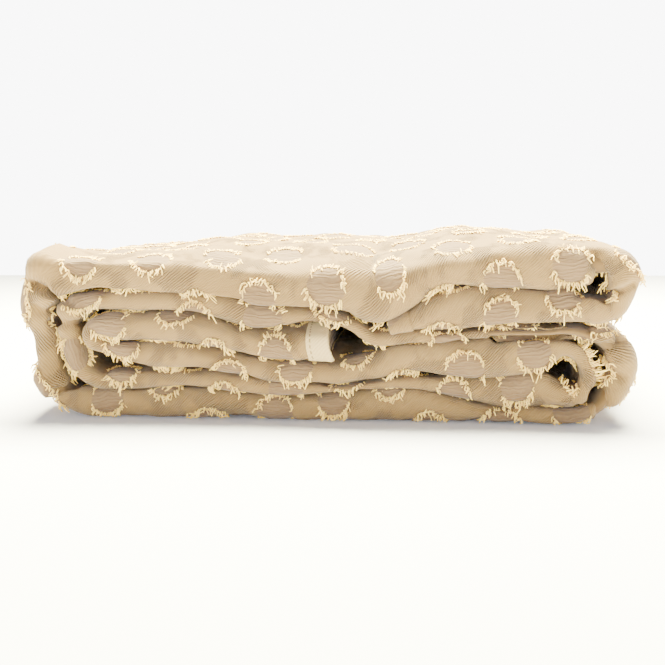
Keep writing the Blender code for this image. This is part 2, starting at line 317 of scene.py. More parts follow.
# Area lights: name, place, target, size, power and colour.
LIGHTS = (
    ("over", (0.05, 0.42, 1.1), (0.0, 0.05, 0.05), (1.1, 0.8), 490.0, (1.0, 0.93, 0.60)),
    ("front", (-0.6, -1.3, 0.25), (-0.05, 0.0, 0.05), (0.9, 0.4), 2.0, (1.0, 0.98, 0.94)),
)
CAMERA_TURN, CAMERA_LIFT, CAMERA_ROLL = 6.0, 7.1, -0.35
CAMERA_DISTANCE = 0.80
CAMERA_AIM = (-0.008, 0.0, 0.0438)
CAMERA_LENS, SENSOR = 52.3, 36.0


def at_station(row, x):
    """A table row's value at the place x, on a smooth curve through the row."""
    places = np.array(STATION_X, dtype=float)
    values = np.array(row, dtype=float)
    slopes = np.gradient(values, places)
    x = np.clip(x, places[0], places[-1])
    left = np.clip(np.searchsorted(places, x, side="right") - 1, 0, len(places) - 2)
    span = places[left + 1] - places[left]
    t = (x - places[left]) / span
    start = (1.0 + 2.0 * t) * (1.0 - t) ** 2 * values[left] + t * (1.0 - t) ** 2 * span * slopes[left]
    end = t * t * (3.0 - 2.0 * t) * values[left + 1] + t * t * (t - 1.0) * span * slopes[left + 1]
    return start + end


def smooth_step(low, high, x):
    """From 0 at low to 1 at high, with level ends."""
    t = np.clip((x - low) / (high - low), 0.0, 1.0)
    return t * t * (3.0 - 2.0 * t)


def run_weight(name, x):
    """How much of a run's thickness the stack feels at x."""
    if name == "first":
        return 1.0 - smooth_step(*FIRST_FADES, x)
    return smooth_step(*SEVENTH_RISES, x) if name == "seventh" else 1.0


def run_middle(name, x):
    """Height of a run's middle and its thickness at x, stacked from the floor."""
    floor = 0.0
    for below, row in THICKNESS.items():
        if below in AIR_UNDER:
            floor += at_station(AIR_UNDER[below], x)
        thick = at_station(row, x)
        if below == name:
            return floor + thick / 2.0, thick
        floor += run_weight(below, x) * (thick + LAYER_GAP)
    raise ValueError(name)


def run_knot(name, x):
    """A knot of one run: x, z, thickness across the slope, front shift and back shift."""
    middle, upright = run_middle(name, x)
    climb = run_middle(name, x + SLOPE_REACH)[0] - run_middle(name, x - SLOPE_REACH)[0]
    thick = upright * math.cos(math.atan2(climb, 2.0 * SLOPE_REACH))
    return (x, middle, thick, *SHIFTS[name])


def run_knots(name, start, stop):
    """Knots of one run from start to stop, at evenly spread places between them."""
    count = round(abs(stop - start) / KNOT_STEP)
    return [run_knot(name, x) for x in np.linspace(start, stop, count + 1)]


def path_knots():
    """All knots of the strip: x, z, thickness, front shift, back shift and stage.

    The stage goes from 2k to 2k + 1 over run k, and on to 2k + 2 over the fold behind it.
    """
    knots = []
    for index, (name, start, stop) in enumerate(RUN_ORDER):
        along_run = run_knots(name, start, stop)
        stages = np.linspace(2 * index, 2 * index + 1, len(along_run))
        knots += [(*knot, stage) for knot, stage in zip(along_run, stages)]
        if index < len(FOLDS):
            shifts = np.add(SHIFTS[name], SHIFTS[RUN_ORDER[index + 1][0]]) / 2.0
            for number, point in enumerate(FOLDS[index], 1):
                stage = 2 * index + 1 + number / (len(FOLDS[index]) + 1)
                knots.append((*point, *shifts, stage))
    return np.array(knots)


def blend(t, low, high, a, b):
    """From a at low to b at high."""
    return (high - t) / (high - low) * a + (t - low) / (high - low) * b


def through_knots(knots, step):
    """A smooth curve through the knots: a centripetal Catmull-Rom spline."""
    ends = (2.0 * knots[0] - knots[1], 2.0 * knots[-1] - knots[-2])
    rows = np.vstack([ends[0], knots, ends[1]])
    samples = []
    for p0, p1, p2, p3 in zip(rows, rows[1:], rows[2:], rows[3:]):
        t0 = 0.0
        t1 = t0 + math.dist(p0[:2], p1[:2]) ** 0.5
        t2 = t1 + math.dist(p1[:2], p2[:2]) ** 0.5
        t3 = t2 + math.dist(p2[:2], p3[:2]) ** 0.5
        turn = math.atan2(*(p3 - p2)[:2]) - math.atan2(*(p1 - p0)[:2])
        bent = abs(math.remainder(turn, math.tau)) > FOLD_TURN
        count = max(2 if bent else 1, round(math.dist(p1[:2], p2[:2]) / step))
        for t in np.linspace(t1, t2, count, endpoint=False):
            a1 = blend(t, t0, t1, p0, p1)
            a2 = blend(t, t1, t2, p1, p2)
            a3 = blend(t, t2, t3, p2, p3)
            b1 = blend(t, t0, t2, a1, a2)
            b2 = blend(t, t1, t3, a2, a3)
            samples.append(blend(t, t1, t2, b1, b2))
    samples.append(knots[-1])
    return np.array(samples)


def unit(vectors):
    """Vectors of length 1."""
    return vectors / np.maximum(np.linalg.norm(vectors, axis=-1, keepdims=True), 1e-9)


def side_normals(path):
    """Unit normals in the XZ plane, to the left of the way the strip heads."""
    ahead = unit(np.gradient(path[:, :2], axis=0))
    return np.column_stack([-ahead[:, 1], ahead[:, 0]])


def settle(points):
    """Points of the straight stack, moved to where they lie in the crowned, uneven bundle."""
    x, y, z = points.T
    middle, thick = run_middle("sixth", x)
    across = np.minimum(np.abs(y) / (STRIP_WIDTH / 2.0), 1.0)
    rise = at_station(CREST_RISE, x) * (1.0 - across ** CREST_POWER)
    high = z * (1.0 + rise / (middle + thick / 2.0))
    end_share = smooth_step(*END_ZONE, np.abs(x))
    side_share = smooth_step(*SIDE_ZONE, np.abs(y))
    out_x = END_WAVE * np.sin(y / END_WAVE_SPAN + z / END_WAVE_RISE + END_PHASE * np.sign(x))
    out_y = SIDE_WAVE * np.sin(x / SIDE_WAVE_SPAN + z / SIDE_WAVE_RISE)
    return np.column_stack([x + end_share * out_x, y + side_share * out_y, high])


def distance_along(path):
    """Distance from the strip's free end to each station of its path."""
    steps = np.linalg.norm(np.diff(path[:, :2], axis=0), axis=1)
    return np.concatenate([[0.0], np.cumsum(steps)])


def even_rows():
    """Rows of the strip at even distances, and those distances from the free end."""
    path = through_knots(path_knots(), FINE_STEP)
    along = distance_along(path)
    places = np.linspace(0.0, along[-1], FINE_ROWS)
    return np.column_stack([np.interp(places, along, column) for column in path.T]), places


def ply_height(ply, thick):
    """Height of a ply off the strip's middle: 1 is the lowest, PLIES the highest."""
    share = (ply - 1.0) / (PLIES - 1.0) - 0.5
    return thick * share * (1.0 if ply in (1, PLIES) else HIDDEN_SHARE)


def level(places, height):
    """Columns at fixed places across the strip, at one height: pairs of y and height."""
    y = np.tile(np.array(places, dtype=float), (len(height), 1))
    return y, np.repeat(height[:, None], len(places), axis=1)


def bend(edge, side, depth, low, high, steps, power=ROUND_POWER):
    """Columns round a folded edge, from height low to height high."""
    turn = np.linspace(-0.5, 0.5, steps)[None, :] * math.pi
    share = 2.0 / np.reshape(power, (-1, 1))
    out = np.maximum(np.cos(turn), 0.0) ** share
    up = np.sign(turn) * np.abs(np.sin(turn)) ** share
    y = edge[:, None] - side * depth[:, None] * (1.0 - out)
    return y, ((low + high) / 2.0)[:, None] + ((high - low) / 2.0)[:, None] * up


def hem(edge, height):
    """Columns of a side hem that is turned over the ply's edge."""
    places = np.array(HEM_TURN)
    y = edge[:, None] - places[None, :, 0]
    return y, height[:, None] + places[None, :, 1]


def edge_power(stage):
    """How square the strip's front edge is: the sixth run's left end has a sharp crease."""
    (start, stop), (rise, fall) = SHARP_STAGES, SHARP_FADES
    sharp = smooth_step(start - rise, start, stage)
    sharp = sharp * (1.0 - smooth_step(stop - fall, stop, stage))
    return EDGE_POWER + SHARP_POWER * sharp


def strip_edges(rows):
    """The strip's thickness, front edge, back edge and edge depth in each row."""
    thick = rows[:, 2]
    front = -STRIP_WIDTH / 2.0 + rows[:, 3]
    back = STRIP_WIDTH / 2.0 + rows[:, 4]
    return thick, front, back, np.minimum(EDGE_DEPTH, EDGE_SHARE * thick)


def outer_section(rows):
    """Section columns of the lowest ply, the front fold, the highest ply and the back fold."""
    thick, front, back, depth = strip_edges(rows)
    power = edge_power(rows[:, STAGE])
    low, high, inner = (ply_height(ply, thick) for ply in (1, PLIES, FIRST_HIDDEN))
    parts = [
        hem(back - BACK_INSET, low),
        level(INNER_FACE_Y, low),
        bend(front, -1.0, depth, low, high, OUTER_BEND_STEPS, power),
        level(OUTER_FACE_Y, high),
        bend(back, 1.0, depth, high, inner, BACK_BEND_STEPS),
    ]
    return [np.hstack(part) for part in zip(*parts)]


def hidden_section(rows):
    """Section columns of the plies between, back and forth from the back fold to the side hem."""
    thick, front, back, depth = strip_edges(rows)
    nest = thick / (PLIES - 1.0)
    parts = []
    for index, (ply, following, inset, steps) in enumerate(HIDDEN_FOLDS):
        forward = index % 2 == 0
        places = HIDDEN_PLY_Y if forward else HIDDEN_PLY_Y[::-1]
        height, after = ply_height(ply, thick), ply_height(following, thick)
        edge = front + inset * nest if forward else back - inset * nest
        size = np.minimum(depth, np.abs(after - height))
        parts.append(level(places, height))
        parts.append(bend(edge, -1.0 if forward else 1.0, size, height, after, steps))
    last = ply_height(LAST_HIDDEN, thick)
    parts.append(level(HIDDEN_PLY_Y[::-1], last))
    parts.append([part[:, ::-1] for part in hem(back - BACK_INSET, last)])
    return [np.hstack(part) for part in zip(*parts)]


def in_place(rows, y, height):
    """Points of the section columns in the wound strip, before the bundle is centred."""
    normals = side_normals(rows)
    x = rows[:, None, 0] + normals[:, None, 0] * height
    z = rows[:, None, 1] + normals[:, None, 1] * height
    points = np.stack([x, y, z], axis=-1)
    flat = points.reshape(-1, 3)
    flat[flat[:, 2] < REST_SNAP, 2] = 0.0
    return settle(flat).reshape(points.shape)


def grid_normals(grid):
    """Unit normals of a grid of points, outwards on the plies that show."""
    return unit(np.cross(np.gradient(grid, axis=0), np.gradient(grid, axis=1)))


def across_strip(y, height):
    """Distance over the cloth from the middle of the front fold, plus on the highest ply."""
    steps = np.hypot(np.diff(y, axis=1), np.diff(height, axis=1))
    sums = np.hstack([np.zeros((len(y), 1)), np.cumsum(steps, axis=1)])
    return sums - sums[:, FRONT_MIDDLE:FRONT_MIDDLE + 1]


def turned(a, b, angle):
    """A pair of coordinates in directions that are turned by an angle."""
    cos, sin = math.cos(angle), math.sin(angle)
    return a * cos + b * sin, b * cos - a * sin


def nearest_dot(u, v):
    """Cloth coordinates of the dot that is nearest to a place."""
    p, q = turned(u, v, LATTICE_TURN)
    dots = []
    for shift in (0.0, 0.5):
        column = round(p / DOT_PITCH - shift) + shift
        row = round(q / (2.0 * DOT_ROW) - shift) + shift
        dots.append((column * DOT_PITCH, row * 2.0 * DOT_ROW))
    return turned(*min(dots, key=lambda dot: math.dist(dot, (p, q))), -LATTICE_TURN)


def placed_dots():
    """Stage and distance across of the dots whose places are listed, in the order of the cloth."""
    dots = list(FOLD_DOTS)
    for index, (name, start, stop) in enumerate(RUN_ORDER):
        side = 1.0 if stop > start else -1.0
        for x, up in DOT_PLACES[name]:
            dots.append((2 * index + (x - start) / (stop - start), side * up))
    return sorted(dots)


def dot_marks(stage, along):
    """Where the lattice is pinned: distance along the strip, and its shift along and across."""
    marks = [(0.0, 0.0, 0.0)]
    for dot_stage, across in placed_dots():
        place = np.interp(dot_stage, stage, along)
        _, shift_along, shift_across = marks[-1]
        u, v = nearest_dot(place + shift_along, across + shift_across)
        marks.append((place, u - place, v - across))
    return np.array(marks)


def dot_shifts(stage, along):
    """How far the lattice is shifted along and across in each row."""
    places, shift_along, shift_across = dot_marks(stage, along).T
    return np.interp(along, places, shift_along), np.interp(along, places, shift_across)


def dot_distance(u, v):
    """Distance from cloth coordinates to the nearest dot's middle."""
    p, q = turned(u, v, LATTICE_TURN)
    nearest = np.full(np.shape(u), np.inf)
    for shift in (0.0, 0.5):
        dp = (p / DOT_PITCH - shift + 0.5) % 1.0 - 0.5
        dq = (q / (2.0 * DOT_ROW) - shift + 0.5) % 1.0 - 0.5
        nearest = np.minimum(nearest, np.hypot(dp * DOT_PITCH, dq * 2.0 * DOT_ROW))
    return nearest


def ripples(u, v):
    """The sum of the cloth's slow waves."""
    random = np.random.default_rng(WAVE_SEED)
    total = np.zeros(np.shape(u))
    for span, height, count in WAVES:
        for _ in range(count):
            angle = random.normal(math.pi / 2.0, WAVE_TURN)
            length = span * random.uniform(*WAVE_SPANS)
            phase = random.uniform(0.0, math.tau)
            reach = (u * math.cos(angle) + v * math.sin(angle)) * math.tau / length
            total += height / math.sqrt(count) * np.sin(reach + phase)
    return total


def crease_depth(across, up, lines):
    """Depth of the listed creases at places seen flat, in the plane of their tables."""
    total = np.zeros(np.shape(across))
    for width, depth, points in lines:
        nearest = np.full(np.shape(across), np.inf)
        for (x0, z0), (x1, z1) in zip(points, points[1:]):
            dx, dz = x1 - x0, z1 - z0
            share = ((across - x0) * dx + (up - z0) * dz) / (dx ** 2 + dz ** 2)
            share = np.clip(share, 0.0, 1.0)
            off = np.hypot(across - x0 - share * dx, up - z0 - share * dz)
            nearest = np.minimum(nearest, off)
        total += depth * np.exp(-(nearest / width) ** 2)
    return total


def relief(points, u, v, stage):
    """How far each point of the plies that show stands out from the plain strip."""
    x, y, z = np.moveaxis(points, -1, 0)
    near = dot_distance(u, v)
    puff = DOT_PUFF * np.clip(1.0 - (near / DOT_RADIUS) ** 2, 0.0, None)
    groove = DOT_GROOVE * np.exp(-((near - DOT_RADIUS) / DOT_GROOVE_WIDTH) ** 2)
    total = puff - groove + ripples(u, v)
    front = 1.0 - smooth_step(*FRONT_FADE, y)
    total -= front * crease_depth(x, z, FRONT_CREASES)
    corner = between(stage, CORNER_STAGES)
    near_front = 1.0 - smooth_step(*CORNER_FADE, y)
    total -= corner[:, None] * near_front * crease_depth(x, z, CORNER_RIDGES)
    total -= (stage > OUTER_TURNS)[:, None] * crease_depth(x, z, END_SHIFTS)
    top = smooth_step(*TOP_BEGINS, stage) * (1.0 - smooth_step(*TOP_ENDS, stage))
    total -= top[:, None] * crease_depth(x, y, TOP_CREASES)
    return total


def between(stage, limits):
    """Whether each stage lies between two limits."""
    return (stage > limits[0]) & (stage < limits[1])


def inner_sag(rows, y, height):
    """The lower ply of the second run hangs into the hollow at the left, behind the front edge."""
    share = np.clip((rows[:, 0] - SAG_X[0]) / (SAG_X[1] - SAG_X[0]), 0.0, 1.0)
    along = np.where(between(rows[:, STAGE], SAG_STAGES), np.sin(math.pi * share), 0.0)
    depth = np.exp(-((y - SAG_Y) / SAG_WIDTH) ** 2)
    lower = height < 0.0
    return -SAG_DEPTH * along[:, None] * depth * lower


def slanted_end(along, across):
    """How far the free end reaches past the plain end, at each place across."""
    table = np.array(END_SLANT)
    reach = np.interp(across, table[:, 0], table[:, 1])
    return reach * np.exp(-along / END_SLANT_FADE)[:, None]


def end_hem(grid, outward):
    """Rows of a turned hem at the grid's first row, from the end back over its outer side."""
    spacing = np.linalg.norm(grid[1] - grid[0], axis=-1).mean()
    rows = []
    for back, rise in END_HEM_TURN:
        place = back / spacing
        whole = int(max(place, 0.0))
        base = grid[whole] + (grid[whole + 1] - grid[whole]) * (place - whole)
        rows.append(base + outward * rise)
    return np.array(rows)


def with_end_hems(grid, normals):
    """The grid with the rows of both turned end hems added."""
    start = end_hem(grid, normals[0])
    end = end_hem(grid[::-1], normals[-1])
    return np.concatenate([start[::-1], grid, end])


def grid_faces(first, rows, columns):
    """Quads of a grid of vertices that are numbered row by row from first."""
    row, column = np.meshgrid(np.arange(rows - 1), np.arange(columns - 1), indexing="ij")
    corner = first + row * columns + column
    quads = np.stack([corner, corner + columns, corner + columns + 1, corner + 1], axis=-1)
    return quads.reshape(-1, 4).tolist()


def seam_faces(fine_columns, coarse_start, coarse_columns):
    """Faces that join the last fine column to the first coarse one, row by row."""
    added = len(END_HEM_TURN)
    faces = []

    def fine(row):
        return (added + row + 1) * fine_columns - 1

    def coarse(row):
        return coarse_start + (added + row) * coarse_columns

    coarse_rows = (FINE_ROWS - 1) // COARSE_STEP + 1
    for row in range(-added, 0):
        faces.append([fine(row), fine(row + 1), coarse(row + 1), coarse(row)])
    for row in range(coarse_rows - 1):
        edge = [fine(row * COARSE_STEP + step) for step in range(COARSE_STEP + 1)]
        faces.append(edge + [coarse(row + 1), coarse(row)])
    for row in range(added):
        beyond = (fine(FINE_ROWS - 1 + row), fine(FINE_ROWS + row))
        faces.append([*beyond, coarse(coarse_rows + row), coarse(coarse_rows - 1 + row)])
    return faces


def cloth_grids():
    """The sheet's outer and hidden points, and the outer rows' lattice coordinates and stages."""
    rows, along = even_rows()
    stage = rows[:, STAGE]
    y, height = outer_section(rows)
    height = height + inner_sag(rows, y, height)
    across = across_strip(y, height)
    shift_along, shift_across = dot_shifts(stage, along)
    u = np.repeat((along + shift_along)[:, None], y.shape[1], axis=1)
    v = across + shift_across[:, None]
    outer = in_place(rows, y, height)
    coarse = rows[::COARSE_STEP]
    hidden = in_place(coarse, *hidden_section(coarse))
    middle = (outer.min(axis=(0, 1)) + outer.max(axis=(0, 1)))[:2] / 2.0
    outer += grid_normals(outer) * relief(outer, u, v, stage)[..., None]
    outer += heading(outer) * -slanted_end(along, across)[..., None]
    outer[..., 2] = np.maximum(outer[..., 2], 0.0)
    outer[..., :2] -= middle
    hidden[..., :2] -= middle
    return outer, hidden, u, v, stage


def heading(grid):
    """Unit vectors along the strip at each point of a grid."""
    return unit(np.gradient(grid, axis=0))


def new_object(name, points, faces):
    """A smooth mesh object from points in mm."""
    data = bpy.data.meshes.new(name)
    data.from_pydata((points * MM).tolist(), [], faces)
    data.shade_smooth()
    obj = bpy.data.objects.new(name, data)
    bpy.context.scene.collection.objects.link(obj)
    return obj


def set_cloth_coordinates(obj, coordinates):
    """Store the lattice coordinates as the mesh's UV map, in dot pitches."""
    layer = obj.data.uv_layers.new(name=CLOTH_MAP)
    corners = np.empty(len(obj.data.loops), dtype=np.int32)
    obj.data.loops.foreach_get("vertex_index", corners)
    layer.data.foreach_set("uv", (coordinates[corners] / DOT_PITCH).ravel())


def build_cloth(grids, cloth, turned_cloth):
    """The bedspread's sheet."""
    outer, hidden, u, v, _ = grids
    outer_all = with_end_hems(outer, grid_normals(outer))
    hidden_all = with_end_hems(hidden, grid_normals(hidden))
    fine_rows, fine_columns = outer_all.shape[:2]
    coarse_rows, coarse_columns = hidden_all.shape[:2]
    first_hidden = fine_rows * fine_columns
    points = np.vstack([outer_all.reshape(-1, 3), hidden_all.reshape(-1, 3)])
    faces = grid_faces(0, fine_rows, fine_columns)
    faces += grid_faces(first_hidden, coarse_rows, coarse_columns)
    faces += seam_faces(fine_columns, first_hidden, coarse_columns)
    sheet = new_object("bedspread_cloth", points, faces)
    lattice = np.stack([u, v, np.zeros_like(u)], axis=-1)
    shown = with_end_hems(lattice, np.zeros_like(lattice))[..., :2].reshape(-1, 2)
    plain = np.tile(np.array(PLAIN_PLACE), (coarse_rows * coarse_columns, 1))
    set_cloth_coordinates(sheet, np.vstack([shown, plain]))
    sheet.data.materials.append(cloth)
    sheet.data.materials.append(turned_cloth)
    on_hem = np.arange(len(faces)) < len(END_HEM_TURN) * (fine_columns - 1)
    sheet.data.polygons.foreach_set("material_index", on_hem.astype(np.int32))
    return sheet


def at_grid(grid, roots):
    """Values of a grid at the roots, between its rows and columns."""
    row, column = roots[:, 0], roots[:, 1]
    r0 = np.clip(row.astype(int), 0, grid.shape[0] - 2)
    c0 = np.clip(column.astype(int), 0, grid.shape[1] - 2)
    fr, fc = (row - r0)[:, None], (column - c0)[:, None]
    low = grid[r0, c0] * (1.0 - fc) + grid[r0, c0 + 1] * fc
    high = grid[r0 + 1, c0] * (1.0 - fc) + grid[r0 + 1, c0 + 1] * fc
    return low * (1.0 - fr) + high * fr


def shows(stage, column):
    """Whether yarn at this stage and section column can be seen."""
    first, last = FRONT_COLUMNS
    if first <= column <= last or column >= BACK_COLUMN:
        return True
    return column > last and any(start <= stage <= stop for start, stop in OPEN_STAGES)


def shown_dots(u, v):
    """Cloth coordinates of all dots that lie on the outer grid."""
    dots = []
    reach = math.ceil(u.max() / DOT_PITCH) + DOTS_SPARE
    for column in range(-DOTS_SPARE, reach):
        for row in range(-reach // 2, reach // 2):
            for shift in (0.0, 0.5):
                p, q = (column + shift) * DOT_PITCH, (row + shift) * 2.0 * DOT_ROW
                dot = turned(p, q, -LATTICE_TURN)
                if u.min() < dot[0] < u.max() and v.min() < dot[1] < v.max():
                    dots.append(dot)
    return sorted(dots)


def yarn_roots(u, v, stage, random):
    """Where each cut yarn leaves the cloth: row, column, and which way is away from its dot."""
    rows, columns = np.arange(len(u), dtype=float), np.arange(v.shape[1], dtype=float)
    roots = []
    for middle_u, middle_v in shown_dots(u, v):
        tilt = random.normal(0.0, ARC_TILT)
        for side in (-1.0, 1.0):
            turns = np.linspace(-ARC_REACH, ARC_REACH, YARNS_PER_ARC) + tilt
            turns = turns + random.normal(0.0, TURN_JITTER, YARNS_PER_ARC)
            kept = random.random(YARNS_PER_ARC) > YARNS_MISSING
            for turn in turns[kept]:
                radius = DOT_RADIUS + random.normal(0.0, RADIUS_JITTER)
                row = np.interp(middle_u + side * radius * math.sin(turn), u[:, 0], rows)
                here = v[int(row)]
                place = middle_v + side * radius * math.cos(turn)
                if not here[0] < place < here[-1]:
                    continue
                column = np.interp(place, here, columns)
                if shows(stage[int(row)], column):
                    roots.append((row, column, side, turn))
    return np.array(roots)


def root_frame(outer, roots):
    """At each yarn's root: out of the cloth, ahead along the strip, and away from the dot."""
    normals = unit(at_grid(grid_normals(outer), roots))
    ahead = unit(at_grid(heading(outer), roots))
    aside = np.cross(normals, ahead)
    away = (aside + ahead * np.sin(roots[:, 3:4]) * AWAY_LEAN) * roots[:, 2:3]
    return normals, ahead, away


def hanging(normals):
    """The way a yarn hangs: down over the cloth, and down off it where it faces down."""
    down = np.tile((0.0, 0.0, -1.0), (len(normals), 1))
    down = down - normals * np.sum(down * normals, axis=1, keepdims=True)
    below = smooth_step(*UNDERSIDE, normals[:, 2:3])
    off = np.sign(normals[:, 1:2]) * np.array([[0.0, 1.0, 0.0]])
    off = off - UNDER_PULL * normals + [[0.0, 0.0, -UNDER_PULL]]
    return unit(down) + HANG_OUT * normals + below * off


def yarn_directions(frame, lie, sprays, random):
    """The directions in which each yarn starts and ends."""
    normals, ahead, away = frame
    shape, calm = normals.shape, 1.0 - LYING_CALM * lie
    away_or_in = away * np.where(random.random((len(lie), 1)) < INWARD_YARNS, -1.0, 1.0)
    start = away * AWAY_SHARE + normals * OUT_SHARE + random.normal(0.0, START_SPREAD, shape) * calm
    start = start * (1.0 - lie) + (away_or_in + LYING_LIFT * normals) * lie
    end = away_or_in + LYING_AHEAD * ahead - LYING_SINK * normals
    end = unit(hanging(normals) * (1.0 - lie) + end * lie)
    end = end + random.normal(0.0, END_SPREAD, shape) * calm
    sprayed = normals * [SPRAY_OUT] + random.normal(0.0, SPRAY_SPREAD, shape)
    return unit(start), unit(np.where(sprays, sprayed, end))


def yarn_lengths(lie, sprays, random):
    """Each yarn's length: shorter where it lies down, with a few long ones."""
    shape = lie.shape
    length = random.uniform(*YARN_LENGTH, shape) * (1.0 - LYING_SHORTER * lie)
    length = length * np.where(sprays, SPRAY_LENGTH, 1.0)
    return length * np.where(random.random(shape) < LONG_YARNS, LONG_STRETCH, 1.0)


def yarn_paths(outer, stages, roots, random):
    """Points along each yarn: it leaves the cloth outwards, then hangs or lies down."""
    frame = root_frame(outer, roots)
    normals = frame[0]
    lie = smooth_step(*LYING, normals[:, 2:3])
    sprays = between(stages[roots[:, 0].astype(int)], SPRAY_STAGES)[:, None]
    sprays &= normals[:, 0:1] > 0.0
    start, end = yarn_directions(frame, lie, sprays, random)
    length = yarn_lengths(lie, sprays, random)
    sway = random.normal(0.0, YARN_SWAY, normals.shape) * (1.0 - LYING_CALM * lie)
    point = at_grid(outer, roots) + normals * YARN_LIFT
    point[:, 2] = np.maximum(point[:, 2], YARN_FLOOR)
    points = [point]
    for step in range(YARN_STEPS):
        done = (step + 0.5) / YARN_STEPS
        share = smooth_step(0.0, YARN_BEND, done)
        direction = unit(start * (1.0 - share) + end * share + sway * math.sin(math.tau * done))
        point = point + direction * length / YARN_STEPS
        point[:, 2] = np.maximum(point[:, 2], YARN_FLOOR)
        points.append(point)
    return np.stack(points, axis=1)


def yarn_mesh(paths, random):
    """Points and faces of three-sided yarns along the paths."""
    count, stations = paths.shape[:2]
    ahead = unit(np.gradient(paths, axis=1))
    across = unit(np.cross(ahead, unit(random.normal(0.0, 1.0, (count, 1, 3)))))
    over = np.cross(ahead, across)
    thin = np.linspace(1.0, YARN_TIP, stations)[None, :, None]
    radius = random.uniform(*YARN_RADIUS, (count, 1, 1)) * thin
    rings = []
    for corner in range(YARN_SIDES):
        turn = math.tau * corner / YARN_SIDES
        rings.append(paths + radius * (across * math.cos(turn) + over * math.sin(turn)))
    points = np.stack(rings, axis=2).reshape(-1, 3)
    corner = np.arange((stations - 1) * YARN_SIDES)
    after = corner + np.where(corner % YARN_SIDES == YARN_SIDES - 1, 1 - YARN_SIDES, 1)
    one = np.stack([corner, after, after + YARN_SIDES, corner + YARN_SIDES], axis=1)
    first = np.arange(count)[:, None, None] * stations * YARN_SIDES
    return points, (first + one).reshape(-1, 4).tolist()


def build_fringes(grids, material):
    """The cut yarns of all dots that show, in a few pieces."""
    outer, _, u, v, stage = grids
    random = np.random.default_rng(YARN_SEED)
    roots = yarn_roots(u, v, stage, random)
    paths = yarn_paths(outer, stage, roots, random)
    pieces = []
    for index, part in enumerate(np.array_split(paths, FRINGE_PIECES)):
        points, faces = yarn_mesh(part, random)
        piece = new_object(f"dot_fringe_{index + 1}", points, faces)
        piece.data.materials.append(material)
        pieces.append(piece)
    return pieces


def put(tree, kind, inputs, **settings):
    """Add a node, set its settings, and fill its inputs with values or sockets."""
    node = tree.nodes.new(kind)
    for key, value in settings.items():
        setattr(node, key, value)
    for key, value in inputs.items():
        if isinstance(value, bpy.types.NodeSocket):
            tree.links.new(value, node.inputs[key])
        else:
            node.inputs[key].default_value = value
    return node


class Graph:
    """Short calls for the nodes of one material."""

    def __init__(self, name, finish):
        self.material = bpy.data.materials.new(name)
        self.material.use_nodes = True
        self.tree = self.material.node_tree
        self.shader = self.tree.nodes["Principled BSDF"]
        inputs = self.shader.inputs
        inputs["Roughness"].default_value, inputs["Sheen Weight"].default_value = finish
        inputs["Sheen Roughness"].default_value = SHEEN_ROUGHNESS
        inputs["Specular IOR Level"].default_value = SPECULAR

    def put(self, kind, inputs, **settings):
        return put(self.tree, kind, inputs, **settings)

    def math(self, operation, a, b=0.0, c=0.0):
        return self.put("ShaderNodeMath", {0: a, 1: b, 2: c}, operation=operation).outputs[0]

    def vector(self, operation, a, b=(0.0, 0.0, 0.0)):
        node = self.put("ShaderNodeVectorMath", {0: a, 1: b}, operation=operation)
        return node.outputs["Value" if operation == "LENGTH" else "Vector"]

    def wave(self, angle):
        """From 0 to 1 and back as the angle turns once round."""
        return self.math("MULTIPLY_ADD", self.math("SINE", angle), 0.5, 0.5)

    def noise(self, place, scale):
        return self.put("ShaderNodeTexNoise", {"Vector": place, "Scale": scale}).outputs["Fac"]

    def mix(self, share, a, b):
        node = self.put("ShaderNodeMix", {"Factor": share, 6: a, 7: b}, data_type="RGBA")
        return node.outputs[2]

    def ramp(self, value, low, high):
        """From 0 to 1 as the value goes from low to high."""
        inputs = {"Value": value, "From Min": low, "From Max": high}
        return self.put("ShaderNodeMapRange", inputs, interpolation_type="SMOOTHSTEP").outputs[0]

    def finish(self, colour, height, bump):
        """The material, with its colour and the relief of its bump."""
        inputs = {"Height": height, "Distance": bump[0], "Strength": bump[1]}
        normal = self.put("ShaderNodeBump", inputs).outputs["Normal"]
        self.tree.links.new(colour, self.shader.inputs["Base Color"])
        self.tree.links.new(normal, self.shader.inputs["Normal"])
        return self.material


def cloth_place(graph):
    """Lattice coordinates of the cloth, in dot pitches."""
    return graph.put("ShaderNodeUVMap", {}, uv_map=CLOTH_MAP).outputs["UV"]


def dot_share(graph, place):
    """1 inside the dots and 0 outside, from the distance to the nearest one's middle."""
    lattice = graph.put("ShaderNodeVectorRotate", {"Vector": place, "Angle": -LATTICE_TURN},
                        rotation_type="Z_AXIS").outputs[0]
    cell = (1.0, 2.0 * DOT_ROW / DOT_PITCH, 1.0)
    half = (0.5, 0.5, 0.0)
    share = graph.vector("DIVIDE", lattice, cell)
    distances = []
    for part in (graph.vector("ADD", share, half), share):
        off = graph.vector("SUBTRACT", graph.vector("FRACTION", part), half)
        distances.append(graph.vector("LENGTH", graph.vector("MULTIPLY", off, cell)))
    distance = graph.math("MINIMUM", *distances)
    edge = DOT_RADIUS / DOT_PITCH
    soft = DOT_EDGE / DOT_PITCH
    return graph.math("SUBTRACT", 1.0, graph.ramp(distance, edge - soft, edge + soft))


def twill(graph, place):
    """Height of the diagonal wales, from 0 to 1."""
    parts = graph.put("ShaderNodeSeparateXYZ", {0: place}).outputs
    wander = graph.math("MULTIPLY", graph.noise(place, WANDER_SCALE), WANDER)
    slope = graph.math("ADD", graph.math("SUBTRACT", parts["X"], parts["Y"]), wander)
    return graph.wave(graph.math("MULTIPLY", slope, math.tau * DOT_PITCH / WALE_ACROSS))


